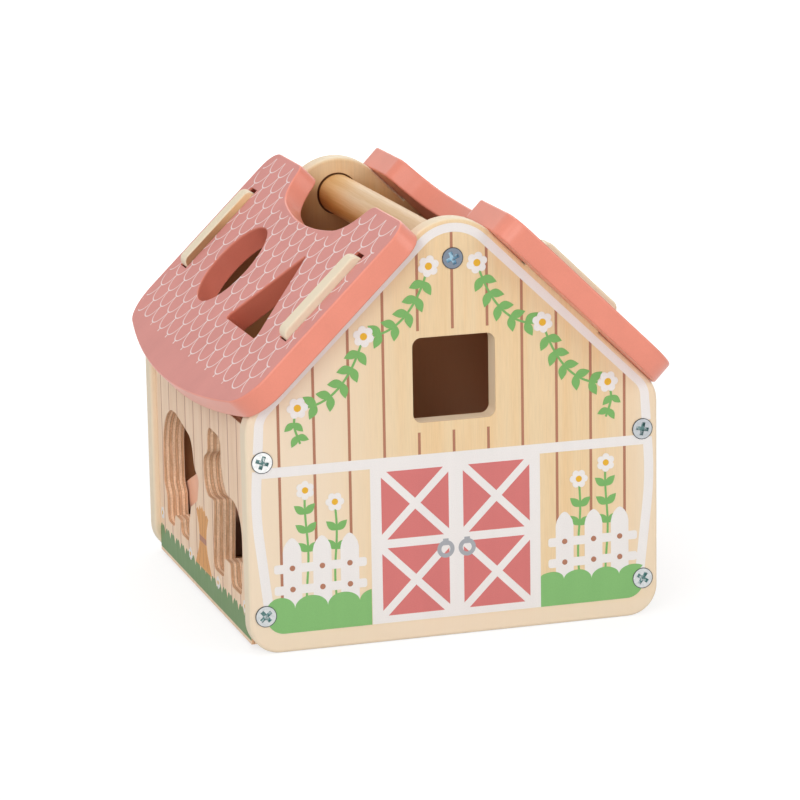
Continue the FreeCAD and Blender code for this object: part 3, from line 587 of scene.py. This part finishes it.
INKS = {
    "white": make_ink("white_ink", WHITE_INK, 0.05),
    "brown": make_ink("brown_ink", BROWN_INK, 0.1),
    "green": make_ink("green_ink", GREEN_INK, 0.07),
    "leaf": make_ink("leaf_ink", LEAF_INK, 0.07),
    "red": make_ink("red_ink", RED_INK, 0.06),
    "grey": make_ink("grey_ink", GREY_INK, 0.06),
    "yellow": make_ink("yellow_ink", YELLOW_INK, 0.08),
    "straw": make_ink("straw_ink", STRAW_INK, 0.08),
    "stalk": make_ink("stalk_ink", STALK_INK, 0.1),
}

for entry in frame["record"]["subparts"]:
    for part in nodes[entry["node"]].material_slots:
        part.material = MATERIALS[entry["material_slot"]]


# Outlines in the plane of a print, in mm

def circle(centre, radius, count=28):
    return [(centre[0] + radius * math.cos(2 * math.pi * step / count),
             centre[1] + radius * math.sin(2 * math.pi * step / count)) for step in range(count)]


def box_outline(left, right, bottom, top):
    return [(left, bottom), (right, bottom), (right, top), (left, top)]


def rounded(corners, closed=True, step=math.radians(12)):
    """Outline through corners given as (across, up, radius), rounded by arcs."""
    points = []
    for number, (across, up, radius) in enumerate(corners):
        here = Vector((across, up))
        end_point = not closed and number in (0, len(corners) - 1)
        if radius == 0 or end_point:
            points.append(tuple(here))
            continue
        before = (Vector(corners[number - 1][:2]) - here).normalized()
        after = (Vector(corners[(number + 1) % len(corners)][:2]) - here).normalized()
        half = before.angle(after) / 2
        centre = here + (before + after).normalized() * (radius / math.sin(half))
        start = here + before * (radius / math.tan(half)) - centre
        turn = math.pi - 2 * half
        if before.x * after.y - before.y * after.x > 0:
            turn = -turn
        count = max(2, math.ceil(abs(turn) / step))
        for part in range(count + 1):
            angle = turn * part / count
            points.append(tuple(centre + Matrix.Rotation(angle, 2) @ start))
    return points


def stroke(points, width, closed=False):
    """Left and right edges of a line through the points; width is a number or one for each."""
    pairs = []
    count = len(points)
    widths = width if isinstance(width, list) else [width] * count
    for number, point in enumerate(points):
        before = Vector(points[number - 1] if closed or number else points[0])
        after = Vector(points[(number + 1) % count] if closed or number < count - 1 else points[-1])
        ahead = (after - before).normalized()
        across = Vector((-ahead.y, ahead.x)) * (widths[number] / 2)
        pairs.append((tuple(Vector(point) + across), tuple(Vector(point) - across)))
    return pairs


# Layers of ink: closed plates a few hundredths of a millimetre thick

INK_BELOW = 0.02
INK_FIRST = 0.03
INK_STEP = 0.02


class Print:
    """Collects the plates of one colour on one face of the house."""

    def __init__(self, name, ink, placed, body, slot):
        self.mesh = bmesh.new()
        self.name = name
        self.ink = ink
        self.placed = placed
        self.body = body
        self.slot = slot

    def corner(self, point, out):
        return self.mesh.verts.new(self.placed(point[0], point[1], out))

    def plate(self, points, layer):
        """Add one closed plate with this outline."""
        area = sum(a[0] * b[1] - b[0] * a[1] for a, b in zip(points, points[1:] + points[:1]))
        if area < 0:
            points = points[::-1]
        low = [self.corner(point, -INK_BELOW) for point in points]
        high = [self.corner(point, INK_FIRST + INK_STEP * layer) for point in points]
        self.mesh.faces.new(high)
        self.mesh.faces.new(low[::-1])
        for number, vertex in enumerate(low):
            following = (number + 1) % len(low)
            self.mesh.faces.new((vertex, low[following], high[following], high[number]))

    def line(self, pairs, layer, closed=False):
        """Add a closed strip between pairs of edge points."""
        rings = []
        for left, right in pairs:
            rings.append([self.corner(right, -INK_BELOW), self.corner(left, -INK_BELOW),
                          self.corner(left, INK_FIRST + INK_STEP * layer),
                          self.corner(right, INK_FIRST + INK_STEP * layer)])
        count = len(rings)
        for number in range(count if closed else count - 1):
            ring = rings[number]
            following = rings[(number + 1) % count]
            for side in range(4):
                after = (side + 1) % 4
                self.mesh.faces.new((ring[side], ring[after], following[after], following[side]))
        if not closed:
            self.mesh.faces.new(rings[0][::-1])
            self.mesh.faces.new(rings[-1])

    def finish(self):
        """Turn the plates into one piece that rides on its body."""
        self.mesh.normal_update()
        bmesh.ops.triangulate(self.mesh, faces=[f for f in self.mesh.faces if len(f.verts) > 4])
        bmesh.ops.recalc_face_normals(self.mesh, faces=self.mesh.faces)
        data = bpy.data.meshes.new(self.name)
        self.mesh.to_mesh(data)
        self.mesh.free()
        piece = bpy.data.objects.new(self.name, data)
        bpy.context.scene.collection.objects.link(piece)
        data.materials.append(INKS[self.ink])
        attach(piece, self.body)
        return piece


def on_gable(turn):
    """Place a print on the front gable, or on the rear one turned half round."""
    def placed(across, up, out):
        return Vector((across * turn, -(FRONT_FACE + out) * turn, up)) * MM
    return placed


def on_wall(turn):
    """Place a print on the left wall, or on the right one turned half round.
    Across is measured from the front of the house."""
    def placed(across, up, out):
        return Vector((-(WALL_FACE + out) * turn, (across - FRONT_FACE) * turn, up)) * MM
    return placed


# Print on a gable

LINE_STEP = 13.84
LINE_SHIFT = -0.4
LINE_WIDE = 1.1
LINE_FOOT = 20.0
WINDOW_CLEAR = (81.4, 120.8)
SCREW_CLEAR = 3.4
BAND_LOW = 68.9
BAND_HIGH = 72.8
DOOR_HALF = 34.1
DOOR_FOOT = 7.6
LEAF_NEAR = 2.9
LEAF_FAR = 29.8
PANEL_LEVELS = ((10.5, 37.2), (40.6, 67.3))
BRACE_WIDE = 3.0
RING_OUT = 4.3
OUTLINE_TOP = 166.3
OUTLINE_FALL = 0.965
OUTLINE_CORNERS = [(76.95, 92.0, 9.0), (79.29, 56.0, 120.0), (75.05, 18.4, 0)]


def add_plank_lines(brown):
    """Upright joints between planks, kept clear of the window and the door."""
    for number in range(-5, 6):
        across = LINE_SHIFT + LINE_STEP * number
        edges = (across - LINE_WIDE / 2, across + LINE_WIDE / 2)
        top = min(OUTLINE_TOP - OUTLINE_FALL * abs(across), 158.6)
        if abs(number) < 2:
            stretches = [(WINDOW_CLEAR[1], top), (BAND_HIGH, WINDOW_CLEAR[0])]
            if number == 0:
                stretches[0] = (WINDOW_CLEAR[1], DOWEL_MIDDLE - SCREW_CLEAR)
                stretches.append((DOWEL_MIDDLE + SCREW_CLEAR, top))
        else:
            stretches = [(BAND_HIGH, top)]
        if abs(number) > 2:
            stretches.append((LINE_FOOT, BAND_LOW))
        for low, high in stretches:
            brown.plate(box_outline(*edges, low, high), 0)


def outline_width(up):
    """Width of the white outline: wider at the apex and down the sides."""
    if up > 150.0:
        return 3.4
    return 3.0 + 0.8 * min(max((96.0 - up) / 10.0, 0.0), 1.0)


def add_outline(white):
    """White line that follows the gable's slopes and bows in towards its feet.
    It stops under the head of the screw on each side."""
    right = OUTLINE_CORNERS
    left = [(-across, up, radius) for across, up, radius in reversed(right)]
    path = rounded(left + [(0.0, OUTLINE_TOP, 17.2)] + right, closed=False,
                   step=math.radians(3))
    above = SCREW_HEIGHTS[1] + SCREW_CLEAR
    below = SCREW_HEIGHTS[1] - SCREW_CLEAR
    roof_part = [point for point in cut_at(path, above) if point[1] >= above - 1e-6]
    white.line(stroke(roof_part, [outline_width(up) for across, up in roof_part]), 1)
    for side in (-1, 1):
        leg = [(across, up) for across, up in cut_at(path, below)
               if up <= below + 1e-6 and across * side > 0]
        white.line(stroke(leg, [outline_width(up) for across, up in leg]), 1)


def cut_at(path, level):
    """The path with a point added wherever it crosses this height."""
    points = [path[0]]
    for start, end in zip(path, path[1:]):
        if (start[1] - level) * (end[1] - level) < 0:
            share = (level - start[1]) / (end[1] - start[1])
            points.append((start[0] + (end[0] - start[0]) * share, level))
        points.append(end)
    return points


def add_door(white, red, grey):
    """Double barn door: white frame, red panels split by crossed braces, two rings."""
    white.plate(box_outline(-DOOR_HALF, DOOR_HALF, DOOR_FOOT, BAND_LOW), 2)
    white.plate([(-76.5, BAND_LOW), (76.5, BAND_LOW), (76.5, 71.6), (73.6, BAND_HIGH),
                 (-73.6, BAND_HIGH), (-76.5, 71.6)], 2)
    for side in (-1, 1):
        left, right = sorted((side * LEAF_NEAR, side * LEAF_FAR))
        for low, high in PANEL_LEVELS:
            middle = Vector(((left + right) / 2, (low + high) / 2))
            corners = [Vector(point) for point in box_outline(left, right, low, high)]
            for number, first in enumerate(corners):
                second = corners[(number + 1) % 4]
                add_panel_quarter(red, first, second, middle)
        ring = circle((side * RING_OUT, 34.7), 2.65, 36)
        grey.line(stroke(ring, 1.65, closed=True), 4, closed=True)
        middle = side * RING_OUT
        grey.plate(box_outline(middle - 1.1, middle + 1.1, 36.2, 38.8), 5)


def add_panel_quarter(red, first, second, middle):
    """One of the four triangles between a panel's crossed braces."""
    along = (second - first).normalized()
    spare = BRACE_WIDE / 2 / math.sin((first - middle).angle(second - middle) / 2)
    to_first = BRACE_WIDE / 2 / math.sin((second - first).angle(middle - first))
    inward = (middle - (first + second) / 2).normalized()
    red.plate([tuple(first + along * to_first), tuple(second - along * to_first),
               tuple(middle - inward * spare)], 3)


HEDGES = (
    ((-75.9, 17.0, 21.8), (-64.7, 17.1, 21.8), (-51.7, 17.1, 21.8), (-39.0, 17.6, 21.9),
     (-26.6, 17.6, 0), -34.3),
    ((78.4, 17.4, 21.2), (66.4, 17.7, 21.2), (55.0, 17.1, 21.2), (43.6, 17.9, 21.2),
     (34.1, 19.6, 0), 34.1),
)


def add_hedge(green, hedge, outer):
    """Clipped hedge with a scalloped top, given as valleys and the tops between them."""
    door = hedge[-1]
    side = 1 if door > 0 else -1
    points = rounded([(door, DOOR_FOOT, 0), (outer, DOOR_FOOT, 7.0), (outer, 14.8, 0)],
                     closed=False, step=math.radians(5))
    points += [(outer, 15.2 + step * 0.4) for step in range(5)]
    for near, far in zip(hedge[:-2], hedge[1:-1]):
        middle = (near[0] + far[0]) / 2
        half = abs(far[0] - near[0]) / 2
        for step in range(19):
            lean = math.cos(math.pi * step / 18)
            across = middle + side * half * lean
            base = near[1] + (far[1] - near[1]) * (1 - lean) / 2
            up = base + (near[2] - base) * math.sqrt(max(0.0, 1 - lean * lean))
            if abs(door) <= abs(across) <= abs(outer):
                points.append((across, up))
    points.append((door, points[-1][1] + 0.1))
    green.plate([clear_of_screw(point, side) for point in points], 5)


def clear_of_screw(point, side):
    """Move a point out of the way of the lower screw's recess, towards the door."""
    aside = point[0] - side * SCREW_OUT
    rise = point[1] - SCREW_HEIGHTS[0]
    if math.hypot(aside, rise) >= SCREW_CLEAR:
        return point
    return side * (SCREW_OUT - math.sqrt(SCREW_CLEAR ** 2 - rise ** 2)), point[1]


FENCES = (
    ((-65.4, -53.6, -42.7), (-72.6, -36.0)),
    ((44.0, 55.9, 66.7), (37.3, 73.9)),
)
PICKET_SIDE = ((3.65, 39.3), (3.2, 41.4), (2.2, 43.2), (1.0, 44.5))


def add_fence(white, brown, middles, ends):
    """Three pointed pickets on two rails, with a nail at each crossing."""
    for low, high in ((22.8, 26.3), (31.2, 34.7)):
        bar = [(ends[0], low, 1.0), (ends[1], low, 1.0), (ends[1], high, 1.0),
               (ends[0], high, 1.0)]
        white.plate(rounded(bar), 2)
    for middle in middles:
        right = [(middle + out, up) for out, up in PICKET_SIDE]
        left = [(middle - out, up) for out, up in reversed(PICKET_SIDE)]
        reach = PICKET_SIDE[0][0]
        white.plate([(middle - reach, 14.0), (middle + reach, 14.0)] + right
                    + [(middle, 44.9)] + left, 3)
        for up in (24.7, 33.0):
            brown.plate(circle((middle, up), 1.1, 18), 5)


def leaf_outline(root, ahead, long):
    """Pointed oval leaf that grows from its root in the direction ahead."""
    across = Vector((-ahead.y, ahead.x))
    edge = []
    for step in range(11):
        share = step / 10
        swell = math.sin(math.pi * share ** 0.85) * 0.27 * long
        edge.append((share, swell))
    right = [tuple(root + ahead * (share * long) + across * swell) for share, swell in edge]
    left = [tuple(root + ahead * (share * long) - across * swell) for share, swell in edge[-2:0:-1]]
    return right + left


def add_blossom(white, yellow, centre, radius, turn=0.0, layer=8):
    """Flower head of six round petals round a yellow middle."""
    for petal in range(6):
        angle = turn + math.pi * petal / 3
        middle = (centre[0] + math.cos(angle) * radius * 0.62,
                  centre[1] + math.sin(angle) * radius * 0.62)
        white.plate(circle(middle, radius * 0.38, 20), layer + petal * 0.2)
    yellow.plate(circle(centre, radius * 0.34, 20), layer + 1.5)


STEM_WIDE = 0.85
LEAF_LONG = 6.2
SWAG_HOOKS = ((9.6, 145.4), (35.6, 120.4), (62.0, 95.0))
SWAG_SAG = 7.0
STALKS = (
    ((-48.1, 57.5), (-59.5, 63.0)),
    ((50.0, 57.5), (61.3, 63.0)),
)


def add_leaf_pairs(leafy, path, spacing, first, last, long, layer=6.5):
    """Opposite leaves along a stem, between two lengths measured along it."""
    gone = 0.0
    wanted = first
    total = sum((Vector(b) - Vector(a)).length for a, b in zip(path, path[1:]))
    for start, end in zip(path, path[1:]):
        piece = (Vector(end) - Vector(start)).length
        if gone + piece >= wanted and wanted <= total - last:
            ahead = (Vector(end) - Vector(start)).normalized()
            here = Vector(start) + ahead * (wanted - gone)
            for hand in (-1, 1):
                out = Matrix.Rotation(hand * math.radians(48), 2) @ ahead
                leafy.plate(leaf_outline(here, out, long), layer)
            wanted += spacing
        gone += piece


def add_swags(leafy, white, yellow, side):
    """Leafy garland that hangs in bows below the slope, with a flower on every hook."""
    hooks = [Vector((side * across, up)) for across, up in SWAG_HOOKS]
    for start, end in zip(hooks, hooks[1:]):
        path = []
        for step in range(33):
            share = step / 32
            drop = Vector((-side * 0.35, -1.0)) * (4 * SWAG_SAG * share * (1 - share))
            path.append(tuple(start.lerp(end, share) + drop))
        leafy.line(stroke(path, STEM_WIDE), 6)
        add_leaf_pairs(leafy, path, 6.6, 6.0, 5.8, LEAF_LONG)
    tail = [tuple(hooks[-1] + Vector((side * 1.4 * math.sin(step / 3.2), -step * 1.15)))
            for step in range(13)]
    leafy.line(stroke(tail, STEM_WIDE), 6)
    add_leaf_pairs(leafy, tail, 5.2, 5.8, 0.4, LEAF_LONG * 0.8)
    for number, hook in enumerate(hooks):
        add_blossom(white, yellow, tuple(hook), 4.2, 0.3 + number * 0.4)


def add_stalks(leafy, white, yellow, stalks):
    """Upright flowers behind the fence."""
    for number, (across, top) in enumerate(stalks):
        path = [(across + 0.5 * math.sin((up + number * 9) / 6), up)
                for up in (19.0 + (top - 19.0) * step / 24 for step in range(25))]
        leafy.line(stroke(path, STEM_WIDE), 0.8)
        add_leaf_pairs(leafy, path, 7.4, 20.0, 5.6, LEAF_LONG * 0.9, 1.2)
        add_blossom(white, yellow, path[-1], 3.7, 0.5 * number)


def print_gable(end, turn):
    """All the ink on one gable."""
    layers = {}
    for ink in ("white", "brown", "green", "leaf", "red", "grey", "yellow"):
        name = "%s_%s_print" % (end, ink)
        layers[ink] = Print(name, ink, on_gable(turn), "house", "gable_board")
    add_plank_lines(layers["brown"])
    add_outline(layers["white"])
    add_door(layers["white"], layers["red"], layers["grey"])
    for middles, ends in FENCES:
        add_fence(layers["white"], layers["brown"], middles, ends)
    add_hedge(layers["green"], HEDGES[0], -75.9)
    add_hedge(layers["green"], HEDGES[1], 76.7)
    for side, stalks in zip((-1, 1), STALKS):
        add_stalks(layers["leaf"], layers["white"], layers["yellow"], stalks)
        add_swags(layers["leaf"], layers["white"], layers["yellow"], side)
    for layer in layers.values():
        layer.finish()


# Print on a side wall

SHEAF_SIDE = ((12.9, 12.6), (11.2, 15.0), (7.0, 20.0), (5.2, 24.6), (6.4, 30.0), (9.6, 35.2))
SHEAF_MIDDLE = 81.6


def add_sheaf(straw, stalk, brown):
    """Standing bundle of straw, tied round its waist, with a ragged top."""
    right = [(SHEAF_MIDDLE + out, up) for out, up in SHEAF_SIDE]
    left = [(SHEAF_MIDDLE - out, up) for out, up in reversed(SHEAF_SIDE)]
    ears = []
    for number, across in enumerate((7.4, 5.6, 3.8, 1.9, 0.0, -1.9, -3.8, -5.6, -7.4)):
        ears.append((SHEAF_MIDDLE + across, 38.8 - 0.04 * across ** 2 - (number % 2) * 2.0))
    straw.plate(right + ears + left, 1)
    for lean in (-0.6, 0.0, 0.6):
        foot = [(SHEAF_MIDDLE + lean * 12.0, 13.4), (SHEAF_MIDDLE + lean * 4.6, 23.4)]
        head = [(SHEAF_MIDDLE + lean * 4.6, 26.2), (SHEAF_MIDDLE + lean * 9.0, 36.0)]
        stalk.line(stroke(foot, 0.6), 2)
        stalk.line(stroke(head, 0.6), 2)
    brown.plate(box_outline(SHEAF_MIDDLE - 5.5, SHEAF_MIDDLE + 5.5, 23.6, 26.0), 3)


def print_wall(end, turn):
    """The ink on one side wall that stands apart from its planks and grass."""
    layers = {}
    for ink in ("white", "brown", "yellow", "straw", "stalk"):
        name = "%s_%s_print" % (end, ink)
        layers[ink] = Print(name, ink, on_wall(turn), "house", "wall_plywood")
    add_sheaf(layers["straw"], layers["stalk"], layers["brown"])
    for across, up in ((16.5, 15.0), (58.0, 13.4), (103.0, 13.6), (150.6, 19.0)):
        add_blossom(layers["white"], layers["yellow"], (across, up), 2.6, across)
    for layer in layers.values():
        layer.finish()


print_gable("front", 1)
print_gable("rear", -1)
print_wall("left", 1)
print_wall("right", -1)


# Camera at the photograph's place

CAMERA_TURN = math.radians(-16.934)
CAMERA_RISE = math.radians(13.014)
CAMERA_ROLL = math.radians(-1.009)
CAMERA_LENS = 162.03
CAMERA_AWAY = 1.3717
AIM = Vector((-0.0, -0.082, 0.08))
AIM_RIGHT = 0.02092
AIM_UP = -0.01259


def make_camera():
    back = Vector((math.sin(CAMERA_TURN) * math.cos(CAMERA_RISE),
                   -math.cos(CAMERA_TURN) * math.cos(CAMERA_RISE), math.sin(CAMERA_RISE)))
    level = (-back).cross(Vector((0, 0, 1))).normalized()
    rising = level.cross(-back)
    right = level * math.cos(CAMERA_ROLL) + rising * math.sin(CAMERA_ROLL)
    up = rising * math.cos(CAMERA_ROLL) - level * math.sin(CAMERA_ROLL)
    lens = bpy.data.cameras.new("camera")
    lens.lens = CAMERA_LENS
    lens.sensor_width = 36.0
    lens.clip_end = 50.0
    camera = bpy.data.objects.new("camera", lens)
    bpy.context.scene.collection.objects.link(camera)
    turn = Matrix((right, up, back)).transposed().to_4x4()
    place = AIM - right * AIM_RIGHT - up * AIM_UP + back * CAMERA_AWAY
    camera.matrix_world = Matrix.Translation(place) @ turn
    bpy.context.scene.camera = camera


# Studio: pale floor, soft lamps, white surroundings

FLOOR_HALF = 6.0
FLOOR_GLOW = 0.74
FLOOR_FAR_GLOW = 1.0
FLOOR_SHEEN = 0.34
WORLD_LIGHT = 0.32
LAMPS = (
    ("front_lamp", (-1.2, -2.0, 1.05), 1.5, 26.6),
    ("right_lamp", (1.7, -1.4, 0.95), 1.4, 15.4),
    ("top_lamp", (-0.3, 0.3, 2.2), 1.6, 16.0),
    ("rear_lamp", (1.0, 2.0, 1.3), 1.5, 9.0),
    ("glint_lamp", (-1.15, -0.73, 1.37), 0.35, 2.3),
)


def direct_view(tree):
    """1 where the camera, or a mirror or glass, sees the surface, and 0 for stray light."""
    path = tree.nodes.new("ShaderNodeLightPath")
    seen = Term(tree, path.outputs["Is Camera Ray"])
    for name in ("Is Glossy Ray", "Is Transmission Ray"):
        seen = seen.most(Term(tree, path.outputs[name]))
    return seen


def make_floor():
    material = bpy.data.materials.new("studio_floor")
    material.use_nodes = True
    tree = material.node_tree
    tree.nodes.clear()
    diffuse = tree.nodes.new("ShaderNodeBsdfDiffuse")
    diffuse.inputs["Color"].default_value = (0.8, 0.8, 0.8, 1.0)
    part = tree.nodes.new("ShaderNodeBsdfDiffuse")
    part.inputs["Color"].default_value = (FLOOR_SHEEN, FLOOR_SHEEN, FLOOR_SHEEN, 1.0)
    glow = tree.nodes.new("ShaderNodeEmission")
    glow.inputs["Color"].default_value = (1.0, 1.0, 1.0, 1.0)
    _, (x, y, z) = places(tree)
    away = (x * x + y * y).root()
    put(tree, glow.inputs["Strength"], ramp(away, 250.0, 700.0, FLOOR_GLOW, FLOOR_FAR_GLOW))
    both = tree.nodes.new("ShaderNodeAddShader")
    tree.links.new(part.outputs[0], both.inputs[0])
    tree.links.new(glow.outputs[0], both.inputs[1])
    choice = tree.nodes.new("ShaderNodeMixShader")
    put(tree, choice.inputs[0], direct_view(tree))
    tree.links.new(diffuse.outputs[0], choice.inputs[1])
    tree.links.new(both.outputs[0], choice.inputs[2])
    output = tree.nodes.new("ShaderNodeOutputMaterial")
    tree.links.new(choice.outputs[0], output.inputs["Surface"])

    data = bpy.data.meshes.new("studio_floor")
    corners = [(-FLOOR_HALF, -FLOOR_HALF, 0), (FLOOR_HALF, -FLOOR_HALF, 0),
               (FLOOR_HALF, FLOOR_HALF, 0), (-FLOOR_HALF, FLOOR_HALF, 0)]
    data.from_pydata(corners, [], [(0, 1, 2, 3)])
    data.materials.append(material)
    floor = bpy.data.objects.new("studio_floor", data)
    floor.location.z = cad_low.z - 0.0002
    bpy.context.scene.collection.objects.link(floor)


def make_world():
    world = bpy.data.worlds.new("studio")
    bpy.context.scene.world = world
    world.use_nodes = True
    tree = world.node_tree
    background = next(node for node in tree.nodes if node.type == "BACKGROUND")
    background.inputs["Color"].default_value = (1.0, 1.0, 1.0, 1.0)
    seen = direct_view(tree)
    put(tree, background.inputs["Strength"], seen * (1.0 - WORLD_LIGHT) + WORLD_LIGHT)


def make_lamps():
    for name, place, size, power in LAMPS:
        data = bpy.data.lights.new(name, "AREA")
        data.shape = "SQUARE"
        data.size = size
        data.energy = power
        lamp = bpy.data.objects.new(name, data)
        lamp.location = place
        aim = Vector((0.0, 0.0, 0.08)) - Vector(place)
        lamp.rotation_mode = "QUATERNION"
        lamp.rotation_quaternion = aim.to_track_quat("-Z", "Y")
        bpy.context.scene.collection.objects.link(lamp)


make_camera()
make_floor()
make_world()
make_lamps()
bpy.context.scene.view_settings.view_transform = "Standard"
